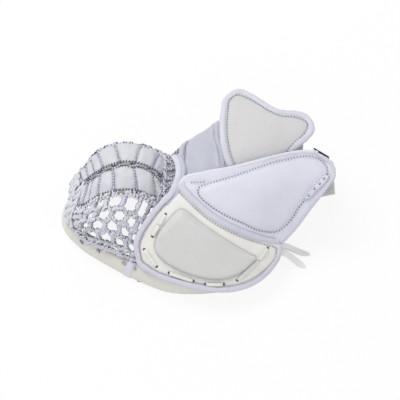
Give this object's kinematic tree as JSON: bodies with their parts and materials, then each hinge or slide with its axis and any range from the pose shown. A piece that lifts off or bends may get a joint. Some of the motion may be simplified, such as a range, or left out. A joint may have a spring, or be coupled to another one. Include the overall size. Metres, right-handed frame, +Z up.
{
  "type": "goalie catch glove",
  "caption": "Goalie's catch glove with a laced net pocket, padded finger back, one-piece cuff, thumb flap, break at the palm and wrist strap.",
  "frame": {"origin": "middle of the glove's footprint, on the surface that it lies on, palm down", "axes": "+X from the pocket to the wrist opening, +Y from the fingers to the thumb, +Z up, away from the palm"},
  "size_m": [0.4264, 0.299, 0.1504],
  "materials": {
    "cream_leather": "coated leather, cream, fine grain",
    "white_leather": "smooth coated leather, cool white",
    "pad_leather": "soft matt leather, light grey",
    "binding": "rolled binding, cool white, satin",
    "lace": "flat woven lace, white flecked with grey",
    "foam": "closed-cell foam, matt",
    "felt": "pressed felt, matt",
    "lining": "brushed knit lining",
    "board": "moulded stiffener, matt",
    "webbing": "woven webbing, black"
  },
  "bodies": {
    "hand_back": {"finger_back_panel": "cream_leather", "finger_back_pad": "pad_leather", "finger_foam": "foam", "finger_lining": "lining", "finger_binding": "binding", "seam_piping": "binding", "edge_lace_1": "lace", "edge_lace_2": "lace", "edge_lace_3": "lace", "edge_lace_4": "lace", "edge_lace_5": "lace", "edge_lace_6": "lace", "edge_lace_7": "lace", "cuff_panel": "white_leather", "cuff_binding": "binding", "cuff_foam": "foam", "cuff_stiffener": "board", "cuff_tab": "white_leather", "finger_rim": "cream_leather", "rim_tape": "binding", "finger_palm_leather": "cream_leather", "finger_palm_felt": "felt", "fold_leather": "white_leather", "stem_row_finger": "white_leather", "stem_backing": "cream_leather", "pocket_net_finger": "lace", "palm_cuff": "cream_leather", "wrist_strap": "webbing", "lace_tail_a": "lace", "lace_tail_b": "lace"},
    "thumb_side": {"thumb_panel": "white_leather", "thumb_binding": "binding", "thumb_foam": "foam", "thumb_shield": "board", "thumb_rim": "cream_leather", "thumb_palm_leather": "cream_leather", "thumb_palm_felt": "felt", "stem_row_thumb": "white_leather", "pocket_net_thumb": "lace"},
    "thumb_flap": {"thumb_flap_face": "cream_leather", "thumb_flap_board": "foam", "thumb_flap_binding": "binding"},
    "strap_tab": {"strap_end": "webbing"}
  },
  "joints": [
    {"name": "break_fold", "type": "hinge", "parent": "hand_back", "child": "thumb_side", "pos_m": [-0.204, 0.0163, 0.035], "axis": [-0.9725, -0.0257, -0.2316], "range_deg": [0, 25], "stiffness_Nm_per_rad": 2},
    {"name": "flap_hinge", "type": "hinge", "parent": "thumb_side", "child": "thumb_flap", "pos_m": [0.052, 0.0133, 0.1234], "axis": [0.9591, 0.282, 0.0226], "range_deg": [-6, 12], "stiffness_Nm_per_rad": 3},
    {"name": "strap_peel", "type": "hinge", "parent": "hand_back", "child": "strap_tab", "pos_m": [0.1865, 0.0648, 0.0997], "axis": [0.9255, -0.0979, -0.3658], "range_deg": [0, 75]}
  ]
}
